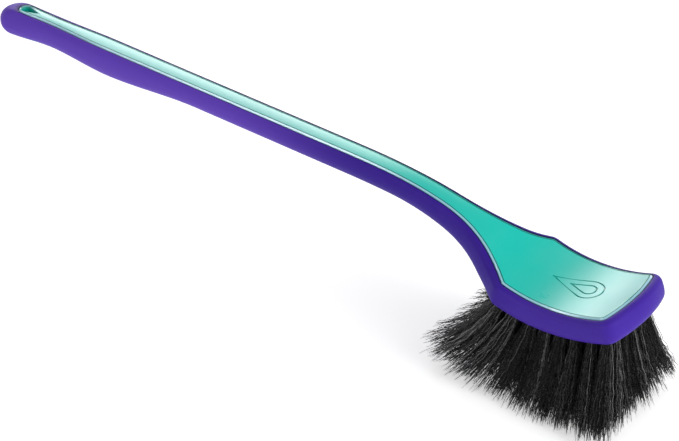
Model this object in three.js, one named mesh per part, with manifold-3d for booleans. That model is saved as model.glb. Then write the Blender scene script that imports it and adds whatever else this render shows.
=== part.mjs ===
// Long-handled wheel brush: a rigid core, a soft grip moulded over it, and tufts stapled into its head.
//
// Units are millimetres and +Z is up. The handle runs along X and the head is at its +X end.
// Places along the brush are given by u, the distance ahead of the head's shoulders, and depths are
// measured square to the top face, which is level along the handle, dips at the neck and cups in the head.

import * as THREE from 'three';
import { mergeVertices } from 'three/addons/utils/BufferGeometryUtils.js';
import Module from 'manifold-3d';

const wasm = await Module();
wasm.setup();

// ---- Driving dimensions -------------------------------------------------------------------------------

// Plan
const handleReach = 429.5;        // from the shoulders back to the tip of the handle
const headLength = 76.5;          // from the shoulders to the front of the rim
const headWidth = 64;             // across the rim at the shoulders
const headTaper = 1.4;            // how much narrower the head is at its front
const frontBow = 4;               // how far the middle of the front edge stands ahead of its corners
const frontCornerRadius = 4;
const frontCornerReach = 6;       // from the corner back along each edge to where it starts to round
const shoulderRadius = 3;
const shoulderSettle = 6;         // from the shoulders forward to where the sides run straight
const flareLength = 58;           // from the handle's strip out to the shoulders
const flareSlope = 0.85;          // widening of each side where it meets the shoulder
const flareStartGain = 0.6;       // widening of each side by the time the flare starts
const flareStartSlope = 0.03;     // widening of each side where the flare starts
const stripWidth = 12;            // the core's face along the handle
const stripEndWidth = 10;         // the same face round the hang hole
const stripWaistWidth = 8.8;      // and at its narrowest, just ahead of the hole

// Places along the handle, from its tip
const waistAt = 48;
const bellyAt = 96;
const gripEndAt = 176;

// Side view
const headDrop = 30;              // how far the head's cupped face lies below the handle's face
const cupRadius = 107;            // of the head's top face, along its length
const cupAhead = 25;              // from the shoulders to where that face is lowest
const cupRise = 9.8;              // from there up to where the neck is steepest
const neckSlope = 0.48;           // steepest fall of the top face
const steepestReach = 16;         // from the shoulders back to where it is that steep
const levelReach = 148;           // and back to where the handle's face is level
const handleThickness = 19;
const bellyThickness = 24.4;      // the palm swell
const tipThickness = 23.6;
const waistThickness = 21;        // where the grip narrows behind the tip
const headThickness = 18.4;
const frontThickness = 16.6;

// Soft moulding round the core
const handleWidth = 17.6;
const bellyWidth = 18.8;
const tipWidth = 18.6;
const rimWall = 4.3;              // beside the head's plate
const neckReach = 96;             // from the shoulders back to where the handle starts to flatten out
const tipWall = 17.5;             // past the end of the strip
const tipRound = 10;              // length of the tip's rounding in plan
const tipKeelSet = 8.5;           // how far the underside stops short of the tip
const tipKeelCurl = 2.5;          // and how much further it falls back across the tip's rounding
const tipRollDepth = 13;          // from the face down to the tip's furthest point
const sideRollDepth = 5;          // from the face down to the widest line, along the sides
const keelInset = 2;              // from the plate's edge in to the rim's underside
const headRoundness = 0.75;       // of the rim's lower side, where 1 is round and less is squarer
const edgeLand = 0.4;             // level edge of the moulding beside the core
const coverBelow = 3.4;           // under the core along the handle
const mouldingGap = 0.3;          // clearance between the core and the moulding

// Core
const lipThickness = 3;           // of the strip and the head plate
const lipOverhang = 2.6;          // of the same, beyond the web and block below them
const bossLip = 0.2;              // the same round the hang hole
const bossReach = 16;             // from the hole's centre forward to where the boss ends
const bossLipReach = 10;          // and to where the lip starts to deepen
const fullLipReach = 30;          // and to where it is full
const bossExcess = 2;             // of the boss past the underside before it is trimmed flush
const edgeBevel = 0.6;
const blockRecess = 1;            // of the head block's underside above the rim's
const blockReach = 10;            // from the shoulders back to where the block comes out of the moulding

// Hang hole: round towards the tip of the handle and pointed towards the head
const holeRadius = 3.4;
const holeTaper = 12.4;           // from the centre of the round end to the point

// Bristles
const tuftRows = 8;
const tuftColumns = 6;
const heelMargin = 1;             // from the shoulders to the row at the heel
const frontMargin = 3.4;          // from the front corners of the block back to the last row
const sideMargin = 5.6;           // from the sides of the block in to the outermost columns
const tuftRadius = 2;
const tuftFit = 0.3;              // clearance between a tuft and its hole
const tuftHoleDepth = 10;
const heelTrim = 58;              // free length of the heel row
const frontTrim = 59;             // free length of the front row
const heelLean = 36;              // degrees backward
const frontLean = -10;            // degrees, so forward
const sideSplay = 18;             // degrees outward in the outermost columns
const boreLeanShare = 0.5;        // how much of its lean and splay a tuft already has in its hole
const levelTrimLean = 10;         // tufts that lean no more than this are trimmed level
const tipClearance = 0.6;         // between the tips of neighbouring tufts

// Staples
const stapleThickness = 0.6;
const stapleHeight = 2.4;
const stapleOverlap = 2.6;        // bite into the block past the outermost tufts
const stapleFit = 0.3;

// Fineness
const endSteps = 5;
const cornerSteps = 3;
const rollSteps = 3;
const keelSteps = 5;
const tuftSides = 8;
const tuftSteps = 3;
const holeSteps = 12;
const bossPitch = 9;              // between the outline's points along each stretch
const gripPitch = 16;
const levelPitch = 30;
const neckPitch = 11;
const flarePitch = 7;
const sidePitch = 10;
const frontPitch = 7;
const cutExcess = 4;              // of a cutting shape past what it cuts
const weldDistance = 1e-4;

// ---- Worked-out dimensions ----------------------------------------------------------------------------

const tipU = -handleReach;
const bossU = tipU + tipWall + stripEndWidth / 2;
const waistU = tipU + waistAt;
const bellyU = tipU + bellyAt;
const gripEndU = tipU + gripEndAt;
const neckU = -neckReach;
const blockU = -blockReach;
const plateHalfWidth = headWidth / 2 - rimWall;
const plateFrontU = headLength - rimWall;
const plateCornerU = plateFrontU - frontBow;
const columnSpan = 2 * (plateHalfWidth - lipOverhang - sideMargin);
const lastRowU = plateCornerU - lipOverhang - frontMargin;

// Value at u of a smooth curve through knots of [u, value, slope], level beyond the last knots.
function follow(knots, u) {
  if (u <= knots[0][0]) {
    return knots[0][1];
  }
  for (let i = 1; i < knots.length; i++) {
    const [u0, v0, s0 = 0] = knots[i - 1];
    const [u1, v1, s1 = 0] = knots[i];
    if (u <= u1) {
      const span = u1 - u0;
      const t = (u - u0) / span;
      const rise = t * t * (3 - 2 * t);
      const leave = span * s0 * t * (1 - t) * (1 - t);
      const arrive = span * s1 * t * t * (t - 1);
      return v0 + (v1 - v0) * rise + leave + arrive;
    }
  }
  return knots[knots.length - 1][1];
}

// ---- The top face in side view ------------------------------------------------------------------------

function topHeight(u) {
  if (u > cupAhead) {
    const ahead = u - cupAhead;
    return -headDrop + cupRadius - Math.sqrt(cupRadius * cupRadius - ahead * ahead);
  }
  return follow([
    [-levelReach, 0],
    [-steepestReach, cupRise - headDrop, -neckSlope],
    [cupAhead, -headDrop],
  ], u);
}

function topNormal(u) {
  const step = 0.5;
  const slope = (topHeight(u + step) - topHeight(u - step)) / (2 * step);
  return new THREE.Vector3(-slope, 0, 1).normalize();
}

// The point at u and y, the given depth below the top face.
function placed(u, y, depth) {
  const onTop = new THREE.Vector3(u, y, topHeight(u));
  return onTop.addScaledVector(topNormal(u), -depth);
}

function thicknessAt(u) {
  return follow([
    [tipU + tipRound, tipThickness],
    [waistU, waistThickness],
    [bellyU, bellyThickness],
    [gripEndU, handleThickness],
    [-flareLength, handleThickness],
    [0, headThickness],
    [headLength, frontThickness],
  ], u);
}

// ---- Plan outlines ------------------------------------------------------------------------------------

function stripHalfWidth(u) {
  return follow([
    [bossU, stripEndWidth / 2],
    [waistU, stripWaistWidth / 2],
    [bellyU, stripWidth / 2],
    [-neckReach, stripWidth / 2],
    [-flareLength, stripWidth / 2 + flareStartGain, flareStartSlope],
    [0, plateHalfWidth, flareSlope],
  ], u);
}

function plateSide(u) {
  return plateHalfWidth - (headTaper / 2) * (u / plateCornerU);
}

// Points that round the corner at b between a and c.
function roundedCorner(a, b, c, radius, steps) {
  const back = a.clone().sub(b).normalize();
  const on = c.clone().sub(b).normalize();
  const halfAngle = Math.acos(THREE.MathUtils.clamp(back.dot(on), -1, 1)) / 2;
  const reach = radius / Math.tan(halfAngle);
  const start = b.clone().addScaledVector(back, reach);
  const end = b.clone().addScaledVector(on, reach);
  return new THREE.QuadraticBezierCurve(start, b, end).getPoints(steps);
}

// Places from one to the other, about the pitch apart, with the last left out.
function spaced(from, to, pitch) {
  const count = Math.max(1, Math.round((to - from) / pitch));
  return Array.from({ length: count }, (_, i) => from + ((to - from) * i) / count);
}

// Half of the core face's outline, from the boss at the hang hole to the middle of the front edge.
function stripOutline() {
  const points = [];
  const radius = stripEndWidth / 2;
  for (let i = 0; i < endSteps; i++) {
    const angle = (Math.PI / 2) * (i / endSteps);
    points.push(new THREE.Vector2(bossU - radius * Math.cos(angle), radius * Math.sin(angle)));
  }
  const along = [
    ...spaced(bossU, waistU, bossPitch),
    ...spaced(waistU, gripEndU, gripPitch),
    ...spaced(gripEndU, -levelReach, levelPitch),
    ...spaced(-levelReach, -flareLength, neckPitch),
    ...spaced(-flareLength, -shoulderRadius, flarePitch),
  ];
  along.forEach((u) => points.push(new THREE.Vector2(u, stripHalfWidth(u))));

  const shoulder = new THREE.Vector2(0, plateHalfWidth);
  const beforeShoulder = new THREE.Vector2(-shoulderRadius, stripHalfWidth(-shoulderRadius));
  const afterShoulder = new THREE.Vector2(shoulderRadius, plateSide(shoulderRadius));
  points.push(...roundedCorner(beforeShoulder, shoulder, afterShoulder, shoulderRadius, cornerSteps));

  const cornerY = plateSide(plateCornerU);
  const sideEndU = plateCornerU - frontCornerReach;
  spaced(shoulderSettle, sideEndU, sidePitch).forEach((u) => {
    points.push(new THREE.Vector2(u, plateSide(u)));
  });
  const sideEnd = new THREE.Vector2(sideEndU, plateSide(sideEndU));
  const corner = new THREE.Vector2(plateCornerU, cornerY);
  const frontArc = (y) => new THREE.Vector2(plateFrontU - frontBow * (y / cornerY) ** 2, y);
  const arcStart = cornerY - frontCornerReach;
  const inFront = frontArc(arcStart);
  points.push(sideEnd, ...roundedCorner(sideEnd, corner, inFront, frontCornerRadius, cornerSteps + 1));
  spaced(arcStart, 0, -frontPitch).forEach((y) => points.push(frontArc(y)));
  points.push(new THREE.Vector2(plateFrontU, 0));
  return points;
}

// Outward directions of a half outline whose ends lie on the centreline.
function outwardDirections(points) {
  return points.map((point, i) => {
    if (i === 0) {
      return new THREE.Vector2(-1, 0);
    }
    if (i === points.length - 1) {
      return new THREE.Vector2(1, 0);
    }
    const along = points[i + 1].clone().sub(points[i - 1]).normalize();
    return new THREE.Vector2(-along.y, along.x);
  });
}

// The half outline grown outward, or shrunk if the distance is negative.
function grown(points, distanceAt) {
  const directions = outwardDirections(points);
  return points.map((point, i) => {
    const moved = point.clone().addScaledVector(directions[i], distanceAt(point.x));
    moved.y = i === 0 || i === points.length - 1 ? 0 : Math.max(moved.y, 0);
    return moved;
  });
}

// ---- Solids from stacked outlines ---------------------------------------------------------------------

// The moulding's widest line and its keel start further back than the strip does, and catch up with it.
function slanted(faceU, startU) {
  const share = (faceU - bossU) / (waistU - bossU);
  return share < 1 ? THREE.MathUtils.lerp(startU, waistU, share) : faceU;
}

function gripHalfWidth(u) {
  return follow([
    [tipU + tipRound, tipWidth / 2],
    [waistU, handleWidth / 2],
    [bellyU, bellyWidth / 2],
    [gripEndU, handleWidth / 2],
  ], u);
}

function widestOutline(face) {
  const directions = outwardDirections(face);
  return face.map((point, i) => {
    if (i < endSteps) {
      const angle = (Math.PI / 2) * (i / endSteps);
      const back = tipU + tipRound * (1 - Math.cos(angle));
      return new THREE.Vector2(back, (tipWidth / 2) * Math.sin(angle));
    }
    if (point.x < neckU) {
      const u = slanted(point.x, tipU + tipRound);
      return new THREE.Vector2(u, gripHalfWidth(u));
    }
    const gripWall = (handleWidth - stripWidth) / 2;
    const wall = follow([[neckU, gripWall], [0, rimWall]], point.x);
    return point.clone().addScaledVector(directions[i], wall);
  });
}

function keelOutline(face) {
  const directions = outwardDirections(face);
  return face.map((point, i) => {
    if (point.x < neckU) {
      const share = Math.min(i / endSteps, 1);
      const start = tipU + tipKeelSet + share * share * tipKeelCurl;
      return new THREE.Vector2(i < endSteps ? start : slanted(point.x, start), 0);
    }
    const flatShare = follow([[neckU, 0], [0, 1]], point.x);
    const inset = Math.max(point.y * (1 - flatShare), keelInset);
    const moved = point.clone().addScaledVector(directions[i], -inset);
    moved.y = i === face.length - 1 ? 0 : Math.max(moved.y, 0);
    return moved;
  });
}

// A closed body from levels of equally many points, each level a closed loop or one folded flat.
function skinned(levels) {
  const loop = levels[0].length;
  const positions = levels.flat().flatMap((point) => [point.x, point.y, point.z]);
  const indices = [];
  for (let level = 0; level < levels.length - 1; level++) {
    for (let i = 0; i < loop; i++) {
      const a = level * loop + i;
      const b = level * loop + ((i + 1) % loop);
      indices.push(a, b, b + loop, a, b + loop, a + loop);
    }
  }
  const geometry = new THREE.BufferGeometry();
  geometry.setAttribute('position', new THREE.Float32BufferAttribute(positions, 3));
  geometry.setIndex(indices);
  return geometry;
}

function mirroredLoop(half) {
  const other = half.slice(1, -1).reverse();
  return [...half, ...other.map((point) => new THREE.Vector3(point.x, -point.y, point.z))];
}

// A whole loop from half an outline, at a depth that may change along it.
function loopOf(outline, depthAt) {
  return mirroredLoop(outline.map((point) => placed(point.x, point.y, depthAt(point.x))));
}

function foldedFlat(loop) {
  return loop.map((point) => new THREE.Vector3(point.x, 0, point.z));
}

function centred(loop) {
  const centre = new THREE.Vector3();
  loop.forEach((point) => centre.addScaledVector(point, 1 / loop.length));
  return loop.map(() => centre);
}

// ---- Booleans -----------------------------------------------------------------------------------------

function solidOf(geometry) {
  const bare = geometry.clone();
  bare.deleteAttribute('normal');
  bare.deleteAttribute('uv');
  const merged = mergeVertices(bare, weldDistance);
  const corners = Array.from(merged.index.array);
  const kept = [];
  for (let i = 0; i < corners.length; i += 3) {
    const [a, b, c] = corners.slice(i, i + 3);
    if (a !== b && b !== c && c !== a) {
      kept.push(a, b, c);
    }
  }
  return new wasm.Manifold(new wasm.Mesh({
    numProp: 3,
    vertProperties: new Float32Array(merged.attributes.position.array),
    triVerts: new Uint32Array(kept),
  }));
}

function geometryOf(solid) {
  const mesh = solid.getMesh();
  const geometry = new THREE.BufferGeometry();
  geometry.setAttribute('position', new THREE.Float32BufferAttribute(mesh.vertProperties, 3));
  geometry.setIndex(Array.from(mesh.triVerts));
  geometry.computeVertexNormals();
  return geometry;
}

// ---- Core and moulding --------------------------------------------------------------------------------

const face = stripOutline();

// How far the web and the block are set in under the face.
function lipAt(u) {
  return follow([[bossU + bossLipReach, bossLip], [bossU + fullLipReach, lipOverhang]], u);
}

// Inside the head and round the hang hole the core reaches the underside; between them it is covered.
function coreDepth(u, atBoss, atBlock) {
  if (u < bossU + bossReach) {
    return thicknessAt(u) + atBoss;
  }
  return thicknessAt(u) + (u > blockU ? atBlock : -coverBelow);
}

function coreSolid() {
  const web = grown(face, (u) => -lipAt(u));
  const edge = loopOf(grown(face, () => -edgeBevel), () => 0);
  const depthAt = (u) => coreDepth(u, bossExcess, -blockRecess);
  const underside = loopOf(web, depthAt);
  return solidOf(skinned([
    foldedFlat(edge),
    edge,
    loopOf(face, () => edgeBevel),
    loopOf(face, () => lipThickness),
    loopOf(web, () => lipThickness),
    underside,
    foldedFlat(underside),
  ]));
}

// The space that the moulding leaves for the core, open at the face, the block and the hang hole.
function coreSpace() {
  const wide = grown(face, () => mouldingGap);
  const web = grown(face, (u) => mouldingGap - lipAt(u));
  const above = loopOf(wide, () => -cutExcess);
  const depthAt = (u) => coreDepth(u, cutExcess, cutExcess) + mouldingGap;
  const below = loopOf(web, depthAt);
  return solidOf(skinned([
    foldedFlat(above),
    above,
    loopOf(wide, () => lipThickness + mouldingGap),
    loopOf(web, () => lipThickness + mouldingGap),
    below,
    foldedFlat(below),
  ]));
}

// The whole outside of the handle and head, before the core's space is taken out of it.
function outerSolid() {
  const land = grown(face, () => mouldingGap + edgeLand);
  const widest = widestOutline(face);
  const keel = keelOutline(face);
  const rollDepth = (u) => follow([[tipU, tipRollDepth], [waistU, sideRollDepth]], u);
  const ring = (from, to, across, depthFrom, depthTo, down) => mirroredLoop(from.map((point, i) => {
    const planned = point.clone().lerp(to[i], across(point.x));
    const depth = THREE.MathUtils.lerp(depthFrom(point.x), depthTo(to[i].x), down(point.x));
    return placed(planned.x, planned.y, depth);
  }));
  const top = loopOf(land, () => 0);
  const levels = [foldedFlat(top), top];
  for (let k = 1; k <= rollSteps; k++) {
    const angle = (Math.PI / 2) * (k / rollSteps);
    levels.push(ring(land, widest, () => Math.sin(angle), () => 0, rollDepth, () => 1 - Math.cos(angle)));
  }
  // 1 makes a round underside and less a squarer one.
  const roundness = (u) => follow([[neckU, 1], [0, headRoundness]], u);
  for (let k = 1; k <= keelSteps; k++) {
    const angle = (Math.PI / 2) * (k / keelSteps);
    const across = (u) => 1 - Math.cos(angle) ** roundness(u);
    const down = (u) => Math.sin(angle) ** roundness(u);
    levels.push(ring(widest, keel, k === keelSteps ? () => 1 : across, rollDepth, thicknessAt, down));
  }
  levels.push(foldedFlat(levels[levels.length - 1]));
  return solidOf(skinned(levels));
}

// Teardrop through the core's boss.
function hangHole() {
  const tangent = Math.acos(holeRadius / holeTaper);
  const shape = new THREE.Shape();
  shape.moveTo(bossU + holeTaper, 0);
  shape.lineTo(bossU + holeRadius * Math.cos(tangent), holeRadius * Math.sin(tangent));
  shape.absarc(bossU, 0, holeRadius, tangent, 2 * Math.PI - tangent, false);
  shape.closePath();
  const depth = 3 * tipThickness;
  const geometry = new THREE.ExtrudeGeometry(shape, { depth, bevelEnabled: false, curveSegments: holeSteps });
  geometry.translate(0, 0, -2 * tipThickness);
  return solidOf(geometry);
}

// ---- Bristles and staples -----------------------------------------------------------------------------

function leaning(leanDegrees, splayDegrees) {
  const lean = THREE.MathUtils.degToRad(leanDegrees);
  const splay = THREE.MathUtils.degToRad(splayDegrees);
  return new THREE.Vector3(
    -Math.sin(lean) * Math.cos(splay),
    Math.sin(splay),
    -Math.cos(lean) * Math.cos(splay),
  );
}

// Where one tuft leaves the block, how its hole runs, and where it is trimmed.
function tuftLine(row, column) {
  const ahead = row / (tuftRows - 1);
  const side = column / (tuftColumns - 1) * 2 - 1;
  const u = THREE.MathUtils.lerp(heelMargin, lastRowU, ahead);
  const lean = frontLean + (heelLean - frontLean) * (1 - ahead) ** 2;
  const splay = sideSplay * side;
  const mouth = placed(u, side * (columnSpan / 2), thicknessAt(u) - blockRecess);
  const bore = leaning(lean * boreLeanShare, splay * boreLeanShare);
  const trim = THREE.MathUtils.lerp(heelTrim, frontTrim, ahead);
  const tip = mouth.clone().addScaledVector(leaning(lean, splay), trim);
  return { mouth, bore, tip, lean, trim };
}

// Half of the room between a tuft's tip and the nearer of its neighbours' tips.
function tipRoom(tip, neighbours) {
  const nearest = Math.min(...neighbours.filter(Boolean).map((other) => other.tip.distanceTo(tip)));
  return (nearest - tipClearance) / 2;
}

// A loop round a tuft, long along the brush and wide across it.
function tuftLoop(centre, direction, halfLength, halfWidth) {
  const sideways = new THREE.Vector3(0, 1, 0).cross(direction).normalize();
  const across = direction.clone().cross(sideways).normalize();
  const loop = [];
  for (let i = 0; i < tuftSides; i++) {
    const angle = (2 * Math.PI * (i + 0.5)) / tuftSides;
    loop.push(centre.clone()
      .addScaledVector(sideways, halfLength * Math.cos(angle))
      .addScaledVector(across, halfWidth * Math.sin(angle)));
  }
  return loop;
}

// The tip's loop slid along the tuft until it lies in the trimmed face, which is level but at the heel.
function trimmed(loop, line, direction) {
  const flat = leaning(Math.max(0, line.lean - levelTrimLean), 0);
  return loop.map((point) => {
    const above = point.clone().sub(line.tip).dot(flat);
    return point.clone().addScaledVector(direction, -above / direction.dot(flat));
  });
}

function tuftSolid(line, halfLength, halfWidth) {
  const root = line.mouth.clone().addScaledVector(line.bore, tuftFit - tuftHoleDepth);
  const bend = line.mouth.clone().addScaledVector(line.bore, line.trim / 2);
  const path = new THREE.QuadraticBezierCurve3(line.mouth, bend, line.tip);
  const loops = [tuftLoop(root, line.bore, tuftRadius, tuftRadius)];
  for (let k = 0; k <= tuftSteps; k++) {
    const share = k / tuftSteps;
    const direction = path.getTangent(share);
    const long = THREE.MathUtils.lerp(tuftRadius, halfLength, share);
    const wide = THREE.MathUtils.lerp(tuftRadius, halfWidth, share);
    const loop = tuftLoop(path.getPoint(share), direction, long, wide);
    loops.push(k === tuftSteps ? trimmed(loop, line, direction) : loop);
  }
  return solidOf(skinned([centred(loops[0]), ...loops, centred(loops[loops.length - 1])]));
}

function tuftHole(line) {
  const length = tuftHoleDepth + cutExcess;
  const radius = tuftRadius + tuftFit;
  const geometry = new THREE.CylinderGeometry(radius, radius, length, tuftSides);
  geometry.rotateY(Math.PI / tuftSides);
  const down = new THREE.Vector3(0, -1, 0);
  geometry.applyQuaternion(new THREE.Quaternion().setFromUnitVectors(down, line.bore));
  const middle = line.mouth.clone().addScaledVector(line.bore, (cutExcess - tuftHoleDepth) / 2);
  geometry.translate(middle.x, middle.y, middle.z);
  return solidOf(geometry);
}

// The staples of one row stand in a line at the bottoms of its holes, square to them.
function stapleRow(lines, growth) {
  const bottoms = lines.map((line) => line.mouth.clone().addScaledVector(line.bore, -tuftHoleDepth));
  const reach = Math.max(...bottoms.map((point) => point.y)) + tuftRadius + stapleOverlap;
  const geometry = new THREE.BoxGeometry(
    stapleThickness + 2 * growth,
    2 * (reach + growth),
    stapleHeight + 2 * growth,
  );
  const lean = Math.atan2(-lines[0].bore.x, -lines[0].bore.z);
  geometry.rotateY(lean);
  const rise = new THREE.Vector3(-Math.sin(lean), 0, -Math.cos(lean)).multiplyScalar(stapleHeight / 2);
  const x = bottoms.reduce((sum, point) => sum + point.x, 0) / bottoms.length;
  const z = bottoms.reduce((sum, point) => sum + point.z, 0) / bottoms.length;
  geometry.translate(x + rise.x, 0, z + rise.z);
  return solidOf(geometry);
}

// ---- Materials ----------------------------------------------------------------------------------------

const corePlastic = new THREE.MeshStandardMaterial({ color: 0x2fd0bb, roughness: 0.35, metalness: 0 });
const softGrip = new THREE.MeshStandardMaterial({ color: 0x4a2fa8, roughness: 0.6, metalness: 0 });
const bristle = new THREE.MeshStandardMaterial({ color: 0x161616, roughness: 0.45, metalness: 0 });
const stapleSteel = new THREE.MeshStandardMaterial({ color: 0xb4b6b8, roughness: 0.4, metalness: 1 });

// ---- Assembly -----------------------------------------------------------------------------------------

const brush = new THREE.Group();

function addPart(name, solid, material) {
  const mesh = new THREE.Mesh(geometryOf(solid), material);
  mesh.name = name;
  brush.add(mesh);
}

const rows = [];
for (let row = 0; row < tuftRows; row++) {
  const lines = [];
  for (let column = 0; column < tuftColumns; column++) {
    lines.push(tuftLine(row, column));
  }
  rows.push(lines);
}

const outer = outerSolid();
let core = coreSolid().intersect(outer).subtract(hangHole());
rows.flat().forEach((line) => {
  core = core.subtract(tuftHole(line));
});
rows.forEach((lines) => {
  core = core.subtract(stapleRow(lines, stapleFit));
});

addPart('handle_core', core, corePlastic);
addPart('grip_overmould', outer.subtract(coreSpace()), softGrip);
rows.forEach((lines, row) => {
  lines.forEach((line, column) => {
    const beside = [lines[column - 1], lines[column + 1]];
    const before = [rows[row - 1]?.[column], rows[row + 1]?.[column]];
    const tuft = tuftSolid(line, tipRoom(line.tip, before), tipRoom(line.tip, beside));
    const notched = tuft.subtract(stapleRow(lines, stapleFit));
    addPart(`tuft_r${row + 1}_c${column + 1}`, notched, bristle);
  });
  addPart(`staple_row_${row + 1}`, stapleRow(lines, 0), stapleSteel);
});

// The brush stands on its bristle tips with its origin under the middle of its outline.
const bounds = new THREE.Box3().setFromObject(brush);
const middle = bounds.getCenter(new THREE.Vector3());
brush.position.set(-middle.x, -middle.y, -bounds.min.z);

export default brush;
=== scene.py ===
"""Long-handled wheel brush: fine core and soft moulding, with bristles and staples for each row.

Sizes are in millimetres, as in the design, until a point is placed in the frame, which is in metres.
Places along the brush are given by u, the distance ahead of the head's shoulders.
"""
import math
import bmesh
import bpy
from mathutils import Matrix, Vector


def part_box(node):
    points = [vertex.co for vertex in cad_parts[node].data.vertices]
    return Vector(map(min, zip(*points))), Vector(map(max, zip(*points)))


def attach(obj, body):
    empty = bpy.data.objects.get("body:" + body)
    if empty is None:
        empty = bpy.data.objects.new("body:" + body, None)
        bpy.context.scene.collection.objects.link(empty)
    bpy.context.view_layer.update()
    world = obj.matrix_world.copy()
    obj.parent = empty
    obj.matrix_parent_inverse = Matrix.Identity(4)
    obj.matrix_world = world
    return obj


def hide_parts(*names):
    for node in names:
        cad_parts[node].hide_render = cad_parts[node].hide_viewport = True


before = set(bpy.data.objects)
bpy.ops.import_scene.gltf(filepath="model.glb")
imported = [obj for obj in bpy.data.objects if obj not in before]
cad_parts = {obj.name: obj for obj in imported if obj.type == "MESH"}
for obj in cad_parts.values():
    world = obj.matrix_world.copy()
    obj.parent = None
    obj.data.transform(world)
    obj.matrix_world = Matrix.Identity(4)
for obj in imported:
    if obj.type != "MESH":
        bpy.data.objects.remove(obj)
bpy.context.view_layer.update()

MM = 0.001

# ---- Driving dimensions, the same as the design's --------------------

HANDLE_REACH = 429.5        # from the shoulders back to the tip of the handle
HEAD_LENGTH = 76.5
HEAD_WIDTH = 64
HEAD_TAPER = 1.4
FRONT_BOW = 4
FRONT_CORNER_RADIUS = 4
FRONT_CORNER_REACH = 6
SHOULDER_RADIUS = 3
SHOULDER_SETTLE = 6
FLARE_LENGTH = 58
FLARE_SLOPE = 0.85
FLARE_START_GAIN = 0.6
FLARE_START_SLOPE = 0.03
STRIP_WIDTH = 12
STRIP_END_WIDTH = 10
STRIP_WAIST_WIDTH = 8.8
WAIST_AT = 48
BELLY_AT = 96
GRIP_END_AT = 176

HEAD_DROP = 30
CUP_RADIUS = 107
CUP_AHEAD = 25
CUP_RISE = 9.8
NECK_SLOPE = 0.48
STEEPEST_REACH = 16
LEVEL_REACH = 148
HANDLE_THICKNESS = 19
BELLY_THICKNESS = 24.4
TIP_THICKNESS = 23.6
WAIST_THICKNESS = 21
HEAD_THICKNESS = 18.4
FRONT_THICKNESS = 16.6

HANDLE_WIDTH = 17.6
BELLY_WIDTH = 18.8
TIP_WIDTH = 18.6
RIM_WALL = 4.3
NECK_REACH = 96
TIP_WALL = 17.5
TIP_ROUND = 10
TIP_KEEL_SET = 8.5
TIP_KEEL_CURL = 2.5
TIP_ROLL_DEPTH = 13
SIDE_ROLL_DEPTH = 5
KEEL_INSET = 2
HEAD_ROUNDNESS = 0.75
COVER_BELOW = 3.4

LIP_THICKNESS = 3
LIP_OVERHANG = 2.6
BOSS_LIP = 0.2
BOSS_REACH = 16
BOSS_LIP_REACH = 10
FULL_LIP_REACH = 30
BLOCK_RECESS = 1
BLOCK_REACH = 10
HOLE_RADIUS = 3.4
HOLE_TAPER = 12.4

TUFT_ROWS = 8
TUFT_COLUMNS = 6
HEEL_MARGIN = 1
FRONT_MARGIN = 3.4
SIDE_MARGIN = 5.6
TUFT_RADIUS = 2
TUFT_HOLE_DEPTH = 10
HEEL_TRIM = 58
FRONT_TRIM = 59
HEEL_LEAN = 36
FRONT_LEAN = -10
SIDE_SPLAY = 18
BORE_LEAN_SHARE = 0.5
LEVEL_TRIM_LEAN = 10

# ---- Finishing details -----------------------------------------------

# The core's bevel is given a painted highlight in its colour.
BEVEL_WIDTH = 0.85          # of the core's bright edge, seen from above
BEVEL_DEPTH = 0.75
RIDGE_WIDTH = 0.25          # level land between that edge and the fine groove inside it
GROOVE_WIDTH = 0.6
GROOVE_DEPTH = 0.45
CROWN = 0.2                 # rise of the core's face in the middle
MOULDING_GAP = 0.28         # dark line between the core and the moulding
EDGE_RADIUS = 0.5           # rounding of the moulding's edge beside the core
EDGE_STEP = 0.6             # by which the core stands proud of that edge
HOLE_CHAMFER = 0.5
COUNTERSINK = 0.4
CLEAR = 4                   # of a cutting shape past what it cuts
BOSS_EXCESS = 2             # of the boss past the underside before it is trimmed flush
MARK_U = 42                 # middle of the round end of the plain water drop sunk into the head's plate
MARK_RADIUS = 9
MARK_TAPER = 24
MARK_INNER = 0.5            # size of the drop inside it, as a share
MARK_WIDTH = 1.1
MARK_DEPTH = 0.55

STAPLE_WIDTH = 6
STAPLE_HEIGHT = 2.4
STAPLE_THICKNESS = 0.45

FILAMENTS = 200             # in each tuft
FILAMENT_RADIUS = 0.2
FILAMENT_SEGMENTS = 18
FILAMENT_SIDES = 3
CLUMPS = 16                 # in each tuft, whose filaments draw together at their tips
SEED = 11
CLUMP_DRAW = 0.42           # how far filaments draw towards the middle of their clump at the tip
TIP_SPREAD = 1.3            # of a tuft's tip, as a share of the room it has
SPREAD_BELOW = 0.55         # share of that spread reached half way down
STRAY_SHARE = 0.045         # filaments that stand out from their tuft
STRAY_REACH = 1.2
SHORTEST = 0.86             # length of the shortest filaments, as a share of the tuft's
LONGEST = 1.14              # and of the longest, where the tuft ends clear of the ground
CLUMP_SHORTENING = 0.035    # share by which a whole clump may be shorter than its tuft
OWN_SHADE = 0.45            # how much of a filament's shade is its own, the rest being its clump's
GROUND_SHARE = 0.8          # of the room down to the ground that longer filaments may take up
ROOT_DEPTH = 4              # how far the filaments go up into their hole
CRIMP = 0.42                # how far the filaments wave to each side
CRIMP_WAVES = 5.2
WIDEST = 45.5               # reach of the bristles to each side
TIP_TAPER = 0.45
BOW = 1.6                   # how far a filament's middle strays

TIP_U = -HANDLE_REACH
BOSS_U = TIP_U + TIP_WALL + STRIP_END_WIDTH / 2
WAIST_U = TIP_U + WAIST_AT
BELLY_U = TIP_U + BELLY_AT
GRIP_END_U = TIP_U + GRIP_END_AT
NECK_U = -NECK_REACH
BLOCK_U = -BLOCK_REACH
PLATE_HALF_WIDTH = HEAD_WIDTH / 2 - RIM_WALL
PLATE_FRONT_U = HEAD_LENGTH - RIM_WALL
PLATE_CORNER_U = PLATE_FRONT_U - FRONT_BOW

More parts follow.
